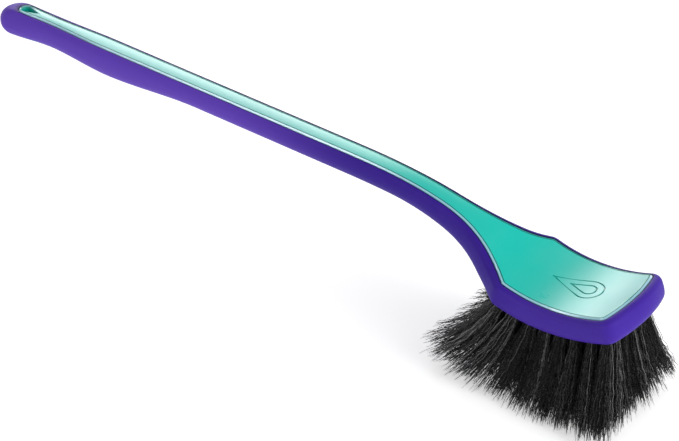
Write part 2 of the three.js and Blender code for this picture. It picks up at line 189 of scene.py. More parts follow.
# The shoulders and the handle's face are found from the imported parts.
SHOULDER_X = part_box("grip_overmould")[0][0] / MM + HANDLE_REACH
FACE_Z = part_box("handle_core")[1][2] / MM


# ---- Shape rules -----------------------------------------------------

def mix(a, b, share):
    return a + (b - a) * share


def follow(knots, u):
    """Value at u of a smooth curve through knots of (u, value, slope), level beyond the last knots."""
    if u <= knots[0][0]:
        return knots[0][1]
    for before, after in zip(knots, knots[1:]):
        u0, v0, s0 = (*before, 0)[:3]
        u1, v1, s1 = (*after, 0)[:3]
        if u <= u1:
            span = u1 - u0
            t = (u - u0) / span
            rise = t * t * (3 - 2 * t)
            leave = span * s0 * t * (1 - t) * (1 - t)
            arrive = span * s1 * t * t * (t - 1)
            return v0 + (v1 - v0) * rise + leave + arrive
    return knots[-1][1]


def top_height(u):
    if u > CUP_AHEAD:
        return -HEAD_DROP + CUP_RADIUS - math.sqrt(CUP_RADIUS ** 2 - (u - CUP_AHEAD) ** 2)
    return follow([
        (-LEVEL_REACH, 0),
        (-STEEPEST_REACH, CUP_RISE - HEAD_DROP, -NECK_SLOPE),
        (CUP_AHEAD, -HEAD_DROP),
    ], u)


def top_normal(u):
    step = 0.5
    slope = (top_height(u + step) - top_height(u - step)) / (2 * step)
    return Vector((-slope, 0, 1)).normalized()


def placed(u, y, depth):
    """The point at u and y, the given depth below the top face, in the design's millimetres."""
    return Vector((u, y, top_height(u))) - top_normal(u) * depth


def in_frame(point):
    return Vector((point.x + SHOULDER_X, point.y, point.z + FACE_Z)) * MM


def thickness_at(u):
    return follow([
        (TIP_U + TIP_ROUND, TIP_THICKNESS),
        (WAIST_U, WAIST_THICKNESS),
        (BELLY_U, BELLY_THICKNESS),
        (GRIP_END_U, HANDLE_THICKNESS),
        (-FLARE_LENGTH, HANDLE_THICKNESS),
        (0, HEAD_THICKNESS),
        (HEAD_LENGTH, FRONT_THICKNESS),
    ], u)


def strip_half_width(u):
    return follow([
        (BOSS_U, STRIP_END_WIDTH / 2),
        (WAIST_U, STRIP_WAIST_WIDTH / 2),
        (BELLY_U, STRIP_WIDTH / 2),
        (-NECK_REACH, STRIP_WIDTH / 2),
        (-FLARE_LENGTH, STRIP_WIDTH / 2 + FLARE_START_GAIN, FLARE_START_SLOPE),
        (0, PLATE_HALF_WIDTH, FLARE_SLOPE),
    ], u)


def plate_side(u):
    return PLATE_HALF_WIDTH - (HEAD_TAPER / 2) * (u / PLATE_CORNER_U)


def grip_half_width(u):
    return follow([
        (TIP_U + TIP_ROUND, TIP_WIDTH / 2),
        (WAIST_U, HANDLE_WIDTH / 2),
        (BELLY_U, BELLY_WIDTH / 2),
        (GRIP_END_U, HANDLE_WIDTH / 2),
    ], u)


# ---- Plan outlines ---------------------------------------------------

END_STEPS = 16              # points round the boss, from its end to its side
CORNER_STEPS = 8
HANDLE_PITCH = 4            # between points along the handle
HEAD_PITCH = 2.5
ROLL_STEPS = 10             # levels from the moulding's edge out to its widest line
KEEL_STEPS = 16             # levels from there down to the underside
TEARDROP_STEPS = 48
BORE_SIDES = 16


def spaced(start, end, pitch):
    count = max(1, round(abs(end - start) / pitch))
    return [mix(start, end, i / count) for i in range(count)]


def rounded_corner(a, b, c, radius, steps):
    back = (a - b).normalized()
    on = (c - b).normalized()
    reach = radius / math.tan(math.acos(max(-1, min(1, back.dot(on)))) / 2)
    start = b + back * reach
    end = b + on * reach
    shares = [i / steps for i in range(steps + 1)]
    return [start * (1 - t) ** 2 + b * (2 * t * (1 - t)) + end * t * t for t in shares]


def strip_outline():
    """Half of the core face's outline, from the boss at the hang hole to the middle of the front edge."""
    radius = STRIP_END_WIDTH / 2
    points = []
    for i in range(END_STEPS):
        angle = (math.pi / 2) * (i / END_STEPS)
        points.append(Vector((BOSS_U - radius * math.cos(angle), radius * math.sin(angle))))
    along = spaced(BOSS_U, -FLARE_LENGTH, HANDLE_PITCH) + spaced(-FLARE_LENGTH, -SHOULDER_RADIUS, HEAD_PITCH)
    points += [Vector((u, strip_half_width(u))) for u in along]

    shoulder = Vector((0, PLATE_HALF_WIDTH))
    before = Vector((-SHOULDER_RADIUS, strip_half_width(-SHOULDER_RADIUS)))
    after = Vector((SHOULDER_RADIUS, plate_side(SHOULDER_RADIUS)))
    points += rounded_corner(before, shoulder, after, SHOULDER_RADIUS, CORNER_STEPS)

    corner = Vector((PLATE_CORNER_U, plate_side(PLATE_CORNER_U)))
    side_end_u = PLATE_CORNER_U - FRONT_CORNER_REACH
    points += [Vector((u, plate_side(u))) for u in spaced(SHOULDER_SETTLE, side_end_u, HEAD_PITCH)]
    side_end = Vector((side_end_u, plate_side(side_end_u)))

    def front_arc(y):
        return Vector((PLATE_FRONT_U - FRONT_BOW * (y / corner.y) ** 2, y))

    arc_start = corner.y - FRONT_CORNER_REACH
    points.append(side_end)
    points += rounded_corner(side_end, corner, front_arc(arc_start), FRONT_CORNER_RADIUS, CORNER_STEPS)
    points += [front_arc(y) for y in spaced(arc_start, 0, HEAD_PITCH)]
    return points + [Vector((PLATE_FRONT_U, 0))]


def outward_directions(points):
    directions = [Vector((-1, 0))]
    for before, after in zip(points, points[2:]):
        along = (after - before).normalized()
        directions.append(Vector((-along.y, along.x)))
    return directions + [Vector((1, 0))]


def grown(points, distance_at):
    """The half outline grown outward, or shrunk if the distance is negative."""
    directions = outward_directions(points)
    moved = [p + d * distance_at(p.x) for p, d in zip(points, directions)]
    for i, p in enumerate(moved):
        p.y = 0 if i in (0, len(moved) - 1) else max(p.y, 0)
    return moved


def slanted(face_u, start_u):
    share = (face_u - BOSS_U) / (WAIST_U - BOSS_U)
    return mix(start_u, WAIST_U, share) if share < 1 else face_u


def widest_outline(face):
    outline = []
    for i, (point, direction) in enumerate(zip(face, outward_directions(face))):
        if i < END_STEPS:
            angle = (math.pi / 2) * (i / END_STEPS)
            back = TIP_U + TIP_ROUND * (1 - math.cos(angle))
            outline.append(Vector((back, (TIP_WIDTH / 2) * math.sin(angle))))
        elif point.x < NECK_U:
            u = slanted(point.x, TIP_U + TIP_ROUND)
            outline.append(Vector((u, grip_half_width(u))))
        else:
            grip_wall = (HANDLE_WIDTH - STRIP_WIDTH) / 2
            outline.append(point + direction * follow([(NECK_U, grip_wall), (0, RIM_WALL)], point.x))
    return outline


def keel_outline(face):
    outline = []
    for i, (point, direction) in enumerate(zip(face, outward_directions(face))):
        if point.x < NECK_U:
            share = min(i / END_STEPS, 1)
            start = TIP_U + TIP_KEEL_SET + share * share * TIP_KEEL_CURL
            outline.append(Vector((start if i < END_STEPS else slanted(point.x, start), 0)))
            continue
        flat_share = follow([(NECK_U, 0), (0, 1)], point.x)
        moved = point - direction * max(point.y * (1 - flat_share), KEEL_INSET)
        moved.y = 0 if i == len(face) - 1 else max(moved.y, 0)
        outline.append(moved)
    return outline


# ---- Meshes from stacked outlines ------------------------------------

DOUBLES_WITHIN = 2e-6       # metres
SLIVERS_WITHIN = 1e-6


def mirrored_loop(half):
    return half + [Vector((p.x, -p.y, p.z)) for p in reversed(half[1:-1])]


def loop_of(outline, depth_at):
    return mirrored_loop([placed(p.x, p.y, depth_at(p.x)) for p in outline])


def folded_flat(loop):
    return [Vector((p.x, 0, p.z)) for p in loop]


def crowned(outline, share):
    """A level part of the way from the edge to the middle of the face, raised by the crown."""
    rise = CROWN * (1 - (1 - share) ** 2)
    return mirrored_loop([placed(p.x, p.y * (1 - share), -rise) for p in outline])


def linked(name, data):
    made = bpy.data.objects.new(name, data)
    bpy.context.collection.objects.link(made)
    return made


def faced_outward(mesh, merged=False):
    """Turns a closed mesh's faces outward, after its doubles and slivers are merged if it has any."""
    body = bmesh.new()
    body.from_mesh(mesh)
    if merged:
        bmesh.ops.remove_doubles(body, verts=body.verts, dist=DOUBLES_WITHIN)
        bmesh.ops.dissolve_degenerate(body, edges=body.edges, dist=SLIVERS_WITHIN)
    bmesh.ops.recalc_face_normals(body, faces=body.faces)
    body.to_mesh(mesh)
    body.free()


def mesh_object(name, levels, bands=None):
    """A closed body from levels of equally many points, each level a closed loop or one folded flat.

    Bands between levels, counted from 0, may be marked: up to 1 as edges with a painted highlight, down to -1
    as lines with painted shade.
    """
    mesh = bpy.data.meshes.new(name)
    count = len(levels[0])
    verts = [in_frame(p) for level in levels for p in level]
    faces = []
    for k in range(len(levels) - 1):
        for i in range(count):
            a = k * count + i
            b = k * count + (i + 1) % count
            faces.append((a, b, b + count, a + count))
    mesh.from_pydata(verts, [], faces)
    marks = [(bands or {}).get(k, 0) for k in range(len(levels) - 1) for _ in range(count)]
    mesh.attributes.new("edge", "FLOAT", "FACE").data.foreach_set("value", marks)
    faced_outward(mesh, merged=True)
    return linked(name, mesh)


def cut(piece, cutter, operation="DIFFERENCE"):
    """Cuts one closed body by another, which is then removed."""
    modifier = piece.modifiers.new("cut", "BOOLEAN")
    modifier.operation = operation
    modifier.solver = "MANIFOLD"
    modifier.object = cutter
    result = bpy.data.meshes.new_from_object(piece.evaluated_get(bpy.context.evaluated_depsgraph_get()))
    piece.modifiers.clear()
    piece.data = result
    bpy.data.objects.remove(cutter)


def smoothed(piece, sharp_degrees):
    piece.data.shade_smooth()
    piece.data.set_sharp_from_angle(angle=math.radians(sharp_degrees))


# ---- Tufts -----------------------------------------------------------

def leaning(lean_degrees, splay_degrees):
    lean = math.radians(lean_degrees)
    splay = math.radians(splay_degrees)
    return Vector((-math.sin(lean) * math.cos(splay), math.sin(splay), -math.cos(lean) * math.cos(splay)))


def tuft_line(row, column):
    """Where one tuft leaves the block, how its hole runs, and where it is trimmed."""
    column_span = 2 * (PLATE_HALF_WIDTH - LIP_OVERHANG - SIDE_MARGIN)
    last_row_u = PLATE_CORNER_U - LIP_OVERHANG - FRONT_MARGIN
    ahead = row / (TUFT_ROWS - 1)
    side = column / (TUFT_COLUMNS - 1) * 2 - 1
    u = mix(HEEL_MARGIN, last_row_u, ahead)
    lean = FRONT_LEAN + (HEEL_LEAN - FRONT_LEAN) * (1 - ahead) ** 2
    splay = SIDE_SPLAY * side
    mouth = placed(u, side * (column_span / 2), thickness_at(u) - BLOCK_RECESS)
    bore = leaning(lean * BORE_LEAN_SHARE, splay * BORE_LEAN_SHARE)
    reach = leaning(lean, splay) * mix(HEEL_TRIM, FRONT_TRIM, ahead)
    flat = leaning(max(0, lean - LEVEL_TRIM_LEAN), 0)
    return {"mouth": mouth, "bore": bore, "reach": reach, "flat": flat, "tip": mouth + reach}


tuft_rows = [[tuft_line(row, column) for column in range(TUFT_COLUMNS)] for row in range(TUFT_ROWS)]
all_tufts = [line for row in tuft_rows for line in row]


def tip_room(row, column):
    """Half of the way to the next tip along the brush and across it, and the share it may be longer by."""
    tip = tuft_rows[row][column]["tip"]
    before = [tuft_rows[r][column] for r in (row - 1, row + 1) if 0 <= r < TUFT_ROWS]
    beside = [tuft_rows[row][c] for c in (column - 1, column + 1) if 0 <= c < TUFT_COLUMNS]
    along = min((other["tip"] - tip).length for other in before) / 2
    across = min((other["tip"] - tip).length for other in beside) / 2
    across = min(across, (WIDEST - abs(tip.y)) / TIP_SPREAD)
    line = tuft_rows[row][column]
    longer = min(LONGEST - 1, GROUND_SHARE * (tip.z + FACE_Z) / -line["reach"].z)
    return Vector((along, across, longer))


# ---- Core and moulding -----------------------------------------------

face = strip_outline()


def lip_at(u):
    return follow([(BOSS_U + BOSS_LIP_REACH, BOSS_LIP), (BOSS_U + FULL_LIP_REACH, LIP_OVERHANG)], u)


def core_depth(u, at_boss, at_block):
    if u < BOSS_U + BOSS_REACH:
        return thickness_at(u) + at_boss
    return thickness_at(u) + (at_block if u > BLOCK_U else -COVER_BELOW)


def core_body():
    ridge = BEVEL_WIDTH + RIDGE_WIDTH
    middle = ridge + GROOVE_WIDTH / 2
    insets = [(ridge + GROOVE_WIDTH, 0), (middle, GROOVE_DEPTH), (ridge, 0), (BEVEL_WIDTH, 0)]
    panel = grown(face, lambda u: -insets[0][0])
    levels = [crowned(panel, share) for share in (1, 0.8, 0.6, 0.4, 0.2)]
    groove = len(levels)
    # The groove's two walls take painted shade, and the bevel outside it a painted highlight.
    bands = {groove: -1, groove + 1: -1, groove + 3: 1}
    for inset, depth in insets:
        levels.append(loop_of(grown(face, lambda u: -inset), lambda u: depth))
    web = grown(face, lambda u: -lip_at(u))
    underside = loop_of(web, lambda u: core_depth(u, BOSS_EXCESS, -BLOCK_RECESS))
    levels += [
        loop_of(face, lambda u: BEVEL_DEPTH),
        loop_of(face, lambda u: LIP_THICKNESS),
        loop_of(web, lambda u: LIP_THICKNESS),
        underside,
        folded_flat(underside),
    ]
    return mesh_object("core", levels, bands)


def core_space():
    """The space that the moulding leaves for the core, open at the face, the block and the hang hole."""
    wide = grown(face, lambda u: MOULDING_GAP)
    web = grown(face, lambda u: MOULDING_GAP - lip_at(u))
    above = loop_of(wide, lambda u: -CLEAR)
    below = loop_of(web, lambda u: core_depth(u, CLEAR, CLEAR) + MOULDING_GAP)
    return mesh_object("space", [
        folded_flat(above),
        above,
        loop_of(wide, lambda u: LIP_THICKNESS + MOULDING_GAP),
        loop_of(web, lambda u: LIP_THICKNESS + MOULDING_GAP),
        below,
        folded_flat(below),
    ])


def part_way(start, end, share):
    return [a.lerp(b, share) for a, b in zip(start, end)]


def outer_body(lidded):
    """The whole outside of the handle and head, level inside the edge, or with a lid well above it."""
    land = grown(face, lambda u: MOULDING_GAP + EDGE_RADIUS)
    inner = grown(face, lambda u: MOULDING_GAP)
    widest = widest_outline(face)
    keel = keel_outline(face)

    def roll_depth(u):
        return follow([(TIP_U, TIP_ROLL_DEPTH), (WAIST_U, SIDE_ROLL_DEPTH)], u)

    def roundness(u):
        return follow([(NECK_U, 1), (0, HEAD_ROUNDNESS)], u)

    def ring(start, end, across, depth_from, depth_to, down):
        half = []
        for a, b in zip(start, end):
            planned = a.lerp(b, across(a.x))
            half.append(placed(planned.x, planned.y, mix(depth_from(a.x), depth_to(b.x), down(a.x))))
        return mirrored_loop(half)

    edge = loop_of(inner, lambda u: EDGE_STEP + EDGE_RADIUS)
    # The edge is rounded in two steps, through a point near the middle of its curve.
    edge_middle = loop_of(part_way(inner, land, 0.3), lambda u: EDGE_STEP + EDGE_RADIUS * 0.29)
    lid = loop_of(inner, lambda u: -CLEAR)
    levels = [folded_flat(lid), lid] if lidded else [folded_flat(edge)]
    levels += [edge, edge_middle, loop_of(land, lambda u: EDGE_STEP)]
    for k in range(1, ROLL_STEPS + 1):
        angle = (math.pi / 2) * (k / ROLL_STEPS)
        levels.append(ring(land, widest, lambda u: math.sin(angle), lambda u: EDGE_STEP, roll_depth,
                           lambda u: 1 - math.cos(angle)))
    for k in range(1, KEEL_STEPS + 1):
        angle = (math.pi / 2) * (k / KEEL_STEPS)
        last = k == KEEL_STEPS
        levels.append(ring(widest, keel,
                           lambda u: 1 if last else 1 - math.cos(angle) ** roundness(u),
                           roll_depth, thickness_at,
                           lambda u: math.sin(angle) ** roundness(u)))
    levels.append(folded_flat(levels[-1]))
    # Bands at the moulding's rounded edge beside the core take painted shade, a little weaker where it rolls
    # outward.
    return mesh_object("moulding", levels, {1: -1, 2: -1, 3: -0.6})


def teardrop_half(radius, taper):
    """Half of a teardrop round its centre, round backward and pointed forward."""
    tangent = math.acos(radius / taper)
    half = [Vector((taper, 0, 0))]
    for i in range(TEARDROP_STEPS + 1):
        angle = mix(tangent, math.pi, i / TEARDROP_STEPS)
        half.append(Vector((radius * math.cos(angle), radius * math.sin(angle), 0)))
    half[-1].y = 0
    return half


def teardrop_loop(growth, height):
    """The hang hole's outline, round towards the tip of the handle and pointed towards the head."""
    half = teardrop_half(HOLE_RADIUS + growth, HOLE_TAPER + growth)
    return mirrored_loop([p + Vector((BOSS_U, 0, height)) for p in half])


def teardrop(growth, top, bottom, name):
    upper = teardrop_loop(growth, top)
    lower = teardrop_loop(growth, bottom)
    return mesh_object(name, [folded_flat(upper), upper, lower, folded_flat(lower)])


def hole_mouth():
    """The chamfer round the hang hole's mouth, as a body to cut away."""
    wide = teardrop_loop(HOLE_CHAMFER * 2, HOLE_CHAMFER)
    narrow = teardrop_loop(0, -HOLE_CHAMFER)
    # The chamfer it leaves on the core takes a painted highlight.
    return mesh_object("mouth", [folded_flat(wide), wide, narrow, folded_flat(narrow)], {1: 1})


def sunk_mark(share):
    """A drop's outline as a ring that follows the plate, wide above it and narrow at its floor."""
    def drop(growth, depth):
        radius = MARK_RADIUS * share + growth
        half = teardrop_half(radius, MARK_TAPER * radius / MARK_RADIUS)
        return mirrored_loop([placed(MARK_U - p.x, p.y, depth) for p in half])

    mouth = MARK_WIDTH / 2
    floor = MARK_WIDTH / 5
    # The sunk walls and floor take a light painted shade.
    return mesh_object("mark", [
        drop(mouth, -CLEAR), drop(mouth, -CROWN), drop(floor, MARK_DEPTH),
        drop(-floor, MARK_DEPTH), drop(-mouth, -CROWN), drop(-mouth, -CLEAR),
        drop(mouth, -CLEAR),
    ], {1: -0.2, 2: -0.2, 3: -0.2})


def prism_ring(centre, direction, radius, sides):
    sideways = Vector((0, 1, 0)).cross(direction).normalized()
    across = direction.cross(sideways).normalized()
    angles = [2 * math.pi * (i + 0.5) / sides for i in range(sides)]
    return [centre + (sideways * math.cos(a) + across * math.sin(a)) * radius for a in angles]


def tuft_holes():
    """All the holes for the tufts as one mesh of separate pins, each with a small countersink."""
    sides = BORE_SIDES
    verts = []
    faces = []
    for line in all_tufts:
        stations = [(-TUFT_HOLE_DEPTH, TUFT_RADIUS), (-COUNTERSINK, TUFT_RADIUS),
                    (0, TUFT_RADIUS + COUNTERSINK), (CLEAR, TUFT_RADIUS + COUNTERSINK + CLEAR)]
        first = len(verts)
        for along, radius in stations:
            centre = line["mouth"] + line["bore"] * along
            verts += [in_frame(p) for p in prism_ring(centre, line["bore"], radius, sides)]
        for k in range(len(stations) - 1):
            for i in range(sides):
                a = first + k * sides + i
                b = first + k * sides + (i + 1) % sides
                faces.append((a, b, b + sides, a + sides))
        faces.append(tuple(first + i for i in reversed(range(sides))))
        faces.append(tuple(first + (len(stations) - 1) * sides + i for i in range(sides)))
    mesh = bpy.data.meshes.new("pins")
    mesh.from_pydata(verts, [], faces)
    faced_outward(mesh)
    return linked("pins", mesh)


def make_core():
    core = core_body()
    cut(core, outer_body(lidded=True), "INTERSECT")
    cut(core, teardrop(0, CLEAR, -2 * TIP_THICKNESS, "hole"))
    cut(core, hole_mouth())
    cut(core, sunk_mark(1))
    cut(core, sunk_mark(MARK_INNER))
    cut(core, tuft_holes())
    smoothed(core, 24)
    return core


def make_moulding():
    moulding = outer_body(lidded=False)
    cut(moulding, core_space())
    smoothed(moulding, 32)
    return moulding


# ---- Node helpers ----------------------------------------------------

def add(tree, kind, inputs=None, **settings):
    """A new node with its settings, and its inputs linked or set by name or number."""
    node = tree.nodes.new(kind)
    for name, value in settings.items():
        setattr(node, name, value)
    for key, value in (inputs or {}).items():
        if isinstance(value, bpy.types.NodeSocket):
            tree.links.new(value, node.inputs[key])
        else:
            node.inputs[key].default_value = value
    return node


def number(tree, operation, *values):
    return add(tree, "ShaderNodeMath", dict(enumerate(values)), operation=operation).outputs[0]


def times(tree, a, b):
    return number(tree, "MULTIPLY", a, b)


def vector(tree, operation, *values):
    return add(tree, "ShaderNodeVectorMath", dict(enumerate(values)), operation=operation).outputs[0]


def dot(tree, a, b):
    return add(tree, "ShaderNodeVectorMath", {0: a, 1: b}, operation="DOT_PRODUCT").outputs["Value"]


def scaled(tree, value, factor):
    node = add(tree, "ShaderNodeVectorMath", {0: value, "Scale": factor}, operation="SCALE")
    return node.outputs[0]


def summed(tree, first, *rest):
    for value in rest:
        first = vector(tree, "ADD", first, value)
    return first


def named(tree, name, kind="FLOAT_VECTOR"):
    return add(tree, "GeometryNodeInputNamedAttribute", {"Name": name}, data_type=kind).outputs[0]


def stored(tree, geometry, name, value, kind="FLOAT_VECTOR"):
    node = add(tree, "GeometryNodeStoreNamedAttribute", {"Geometry": geometry, "Name": name, "Value": value},
               data_type=kind, domain="POINT")
    return node.outputs["Geometry"]


def drawn(tree, low, high, identity, seed):
    """A random number for each thing, which stays the same from run to run."""
    node = add(tree, "FunctionNodeRandomValue", data_type="FLOAT")
    node.inputs[2].default_value = low
    node.inputs[3].default_value = high
    tree.links.new(identity, node.inputs["ID"])
    tree.links.new(seed, node.inputs["Seed"])
    return node.outputs[1]


def new_tree(name, sockets):
    """A Geometry Nodes tree that takes a geometry and named sizes, and gives a geometry."""
    tree = bpy.data.node_groups.new(name, "GeometryNodeTree")
    tree.interface.new_socket("Geometry", in_out="INPUT", socket_type="NodeSocketGeometry")
    tree.interface.new_socket("Geometry", in_out="OUTPUT", socket_type="NodeSocketGeometry")
    for label, kind in sockets.items():
        tree.interface.new_socket(label, in_out="INPUT", socket_type=f"NodeSocket{kind}")
    return tree, add(tree, "NodeGroupInput").outputs


def grown_from(base, tree, values, name):
    """The tree's result on the base mesh, as a plain mesh object."""
    modifier = base.modifiers.new("grow", "NODES")
    modifier.node_group = tree
    for item in tree.interface.items_tree:
        if item.in_out == "INPUT" and item.name in values:
            modifier[item.identifier] = values[item.name]
    result = bpy.data.meshes.new_from_object(base.evaluated_get(bpy.context.evaluated_depsgraph_get()))
    base.modifiers.clear()
    bpy.data.objects.remove(base)
    result.name = name
    return linked(name, result)


def points_with(name, points, attributes):
    """A mesh of loose points that carry vectors."""
    mesh = bpy.data.meshes.new(name)
    mesh.from_pydata(points, [], [])
    for label, values in attributes.items():
        layer = mesh.attributes.new(label, "FLOAT_VECTOR", "POINT")
        layer.data.foreach_set("vector", [x for value in values for x in value])
    return linked(name, mesh)


# ---- Bristles --------------------------------------------------------

def filament_frame(tree, direction):
    """Two directions square to a filament: long along the brush and wide across it."""
    sideways = vector(tree, "CROSS_PRODUCT", (0, 1, 0), direction)
    sideways = vector(tree, "NORMALIZE", sideways)
    return sideways, vector(tree, "NORMALIZE", vector(tree, "CROSS_PRODUCT", direction, sideways))


def disc_point(tree, angle, radius):
    x = times(tree, number(tree, "COSINE", angle), radius)
    y = times(tree, number(tree, "SINE", angle), radius)
    return x, y


def squared(tree, x, y, radius):
    """A point of a disc moved straight out to its place in the square round the disc."""
    larger = number(tree, "MAXIMUM", number(tree, "ABSOLUTE", x), number(tree, "ABSOLUTE", y))
    factor = number(tree, "DIVIDE", radius, number(tree, "MAXIMUM", larger, 0.001))
    return times(tree, x, factor), times(tree, y, factor)


def bristle_tree(material):
    tree, given = new_tree("bristles", {
        "Filaments": "Int", "Clumps": "Int", "Root radius": "Float", "Filament radius": "Float",
        "Spread": "Float", "Crimp": "Float", "Seed": "Int",
    })
    source = stored(tree, given["Geometry"], "tuft", add(tree, "GeometryNodeInputIndex").outputs[0], "INT")
    copies = add(tree, "GeometryNodeDuplicateElements",
                 {"Geometry": source, "Amount": given["Filaments"]}, domain="POINT")
    index = add(tree, "GeometryNodeInputIndex").outputs[0]
    tuft = named(tree, "tuft", "INT")
    seeds = iter(range(1, 40))

    def draw(low, high, identity=None):
        seed = number(tree, "ADD", given["Seed"], float(next(seeds)))
        return drawn(tree, low, high, identity or index, seed)

    # Each filament starts somewhere in its hole and belongs to one clump of its tuft.
    angle = draw(0.0, 2 * math.pi)
    share = number(tree, "SQRT", draw(0.0, 1.0))
    root_x, root_y = disc_point(tree, angle, times(tree, share, given["Root radius"]))
    clump = number(tree, "FLOORED_MODULO", index, given["Clumps"])
    clump_id = number(tree, "ADD", times(tree, tuft, given["Clumps"]), clump)
    clump_radius = number(tree, "SQRT", draw(0.0, 1.0, clump_id))
    clump_x, clump_y = disc_point(tree, draw(0.0, 2 * math.pi, clump_id), clump_radius)
    clump_x, clump_y = squared(tree, clump_x, clump_y, clump_radius)
    own_x, own_y = disc_point(tree, angle, share)
    own_x, own_y = squared(tree, own_x, own_y, share)

    def towards_clump(own, middle):
        away = number(tree, "SUBTRACT", middle, own)
        return number(tree, "MULTIPLY_ADD", away, CLUMP_DRAW, own)

    stray = number(tree, "LESS_THAN", draw(0.0, 1.0), STRAY_SHARE)
    reach_out = number(tree, "MULTIPLY_ADD", stray, STRAY_REACH - 1, 1.0)
    reach_out = times(tree, reach_out, given["Spread"])
    room = add(tree, "ShaderNodeSeparateXYZ", {0: named(tree, "room")})
    tip_x = times(tree, towards_clump(own_x, clump_x), reach_out)
    tip_y = times(tree, towards_clump(own_y, clump_y), reach_out)
    tip_x = times(tree, tip_x, times(tree, room.outputs["X"], MM))
    tip_y = times(tree, tip_y, times(tree, room.outputs["Y"], MM))
    longer = times(tree, number(tree, "POWER", draw(0.0, 1.0), 2.0), room.outputs["Z"])

    reach = named(tree, "reach")
    bore = named(tree, "bore")
    flat = named(tree, "flat")
    direction = vector(tree, "NORMALIZE", reach)
    length = add(tree, "ShaderNodeVectorMath", {0: reach}, operation="LENGTH").outputs["Value"]
    long_way, wide_way = filament_frame(tree, direction)
    mouth = add(tree, "GeometryNodeInputPosition").outputs[0]
    offset = summed(tree, scaled(tree, long_way, tip_x), scaled(tree, wide_way, tip_y))
    # The tips are slid along the tuft into its trimmed face.
    above = number(tree, "DIVIDE", dot(tree, offset, flat), dot(tree, direction, flat))
    offset = vector(tree, "SUBTRACT", offset, scaled(tree, direction, above))
    root_offset = summed(tree, scaled(tree, long_way, root_x), scaled(tree, wide_way, root_y))
    rooted = summed(tree, mouth, root_offset)
    tip = summed(tree, mouth, reach, offset)
    shorter = number(tree, "POWER", draw(0.0, 1.0), 3.0)
    clump_short = draw(0.0, CLUMP_SHORTENING, clump_id)
    kept = number(tree, "MULTIPLY_ADD", shorter, SHORTEST - 1, 1.0)
    kept = number(tree, "ADD", number(tree, "SUBTRACT", kept, clump_short), longer)
    tip = summed(tree, rooted, scaled(tree, vector(tree, "SUBTRACT", tip, rooted), kept))
    half_way = scaled(tree, bore, times(tree, length, 0.5))
    bow = scaled(tree, long_way, draw(-BOW * MM, BOW * MM))
    bow = summed(tree, bow, scaled(tree, wide_way, draw(-BOW * MM, BOW * MM)))
    bend = summed(tree, rooted, half_way, bow, scaled(tree, offset, SPREAD_BELOW))
    root = summed(tree, rooted, scaled(tree, bore, -ROOT_DEPTH * MM))

    geometry = copies.outputs["Geometry"]
    for name, value in {"root": root, "bend": bend, "tip": tip, "long": long_way, "wide": wide_way}.items():
        geometry = stored(tree, geometry, name, value)
    geometry = stored(tree, geometry, "phase", draw(0.0, 2 * math.pi), "FLOAT")
    geometry = stored(tree, geometry, "wave", draw(0.55, 1.25), "FLOAT")
    # A filament's shade, mostly its clump's, sets how light grey and how shiny it is: partly random tone,
    # partly a painted highlight.
    own_shade = times(tree, draw(0.0, 1.0), OWN_SHADE)
    shade = number(tree, "MULTIPLY_ADD", draw(0.0, 1.0, clump_id), 1 - OWN_SHADE, own_shade)
    geometry = stored(tree, geometry, "shade", shade, "FLOAT")

    # One straight filament, whose own place is kept so that it can be bent afterwards.
    stick = add(tree, "GeometryNodeMeshCylinder", {
        "Vertices": FILAMENT_SIDES, "Side Segments": FILAMENT_SEGMENTS, "Radius": 1.0, "Depth": 1.0})
    place = add(tree, "GeometryNodeInputPosition").outputs[0]
    stick = stored(tree, stick.outputs["Mesh"], "stick", place)
    many = add(tree, "GeometryNodeInstanceOnPoints", {"Points": geometry, "Instance": stick})
    real = add(tree, "GeometryNodeRealizeInstances", {"Geometry": many.outputs[0]}).outputs[0]

    local = add(tree, "ShaderNodeSeparateXYZ", {0: named(tree, "stick")})
    t = number(tree, "ADD", local.outputs["Z"], 0.5)
    rest = number(tree, "SUBTRACT", 1.0, t)
    from_root = scaled(tree, named(tree, "root"), times(tree, rest, rest))
    twice = times(tree, times(tree, rest, t), 2.0)
    from_tip = scaled(tree, named(tree, "tip"), times(tree, t, t))
    along = summed(tree, from_root, scaled(tree, named(tree, "bend"), twice), from_tip)
    turn = number(tree, "MULTIPLY_ADD", t, 2 * math.pi * CRIMP_WAVES, named(tree, "phase", "FLOAT"))
    swing = times(tree, given["Crimp"], named(tree, "wave", "FLOAT"))
    swing = times(tree, swing, number(tree, "MINIMUM", times(tree, t, 4.0), 1.0))
    wave_x = times(tree, number(tree, "SINE", turn), swing)
    wave_y = times(tree, number(tree, "COSINE", times(tree, turn, 1.31)), swing)
    taper = number(tree, "MULTIPLY_ADD", number(tree, "POWER", t, 10.0), -TIP_TAPER, 1.0)
    girth = times(tree, taper, given["Filament radius"])
    side_x = number(tree, "MULTIPLY_ADD", local.outputs["X"], girth, wave_x)
    side_y = number(tree, "MULTIPLY_ADD", local.outputs["Y"], girth, wave_y)
    long_part = scaled(tree, named(tree, "long"), side_x)
    wide_part = scaled(tree, named(tree, "wide"), side_y)
    bent = add(tree, "GeometryNodeSetPosition",
               {"Geometry": real, "Position": summed(tree, along, long_part, wide_part)}).outputs[0]
    for name in "tuft reach bore flat room root bend tip long wide phase wave".split():
        bent = add(tree, "GeometryNodeRemoveAttribute", {"Geometry": bent, "Name": name}).outputs[0]
    smooth = add(tree, "GeometryNodeSetShadeSmooth", {"Geometry": bent}).outputs[0]
    done = add(tree, "GeometryNodeSetMaterial", {"Geometry": smooth, "Material": material}).outputs[0]
    add(tree, "NodeGroupOutput", {0: done})
    return tree


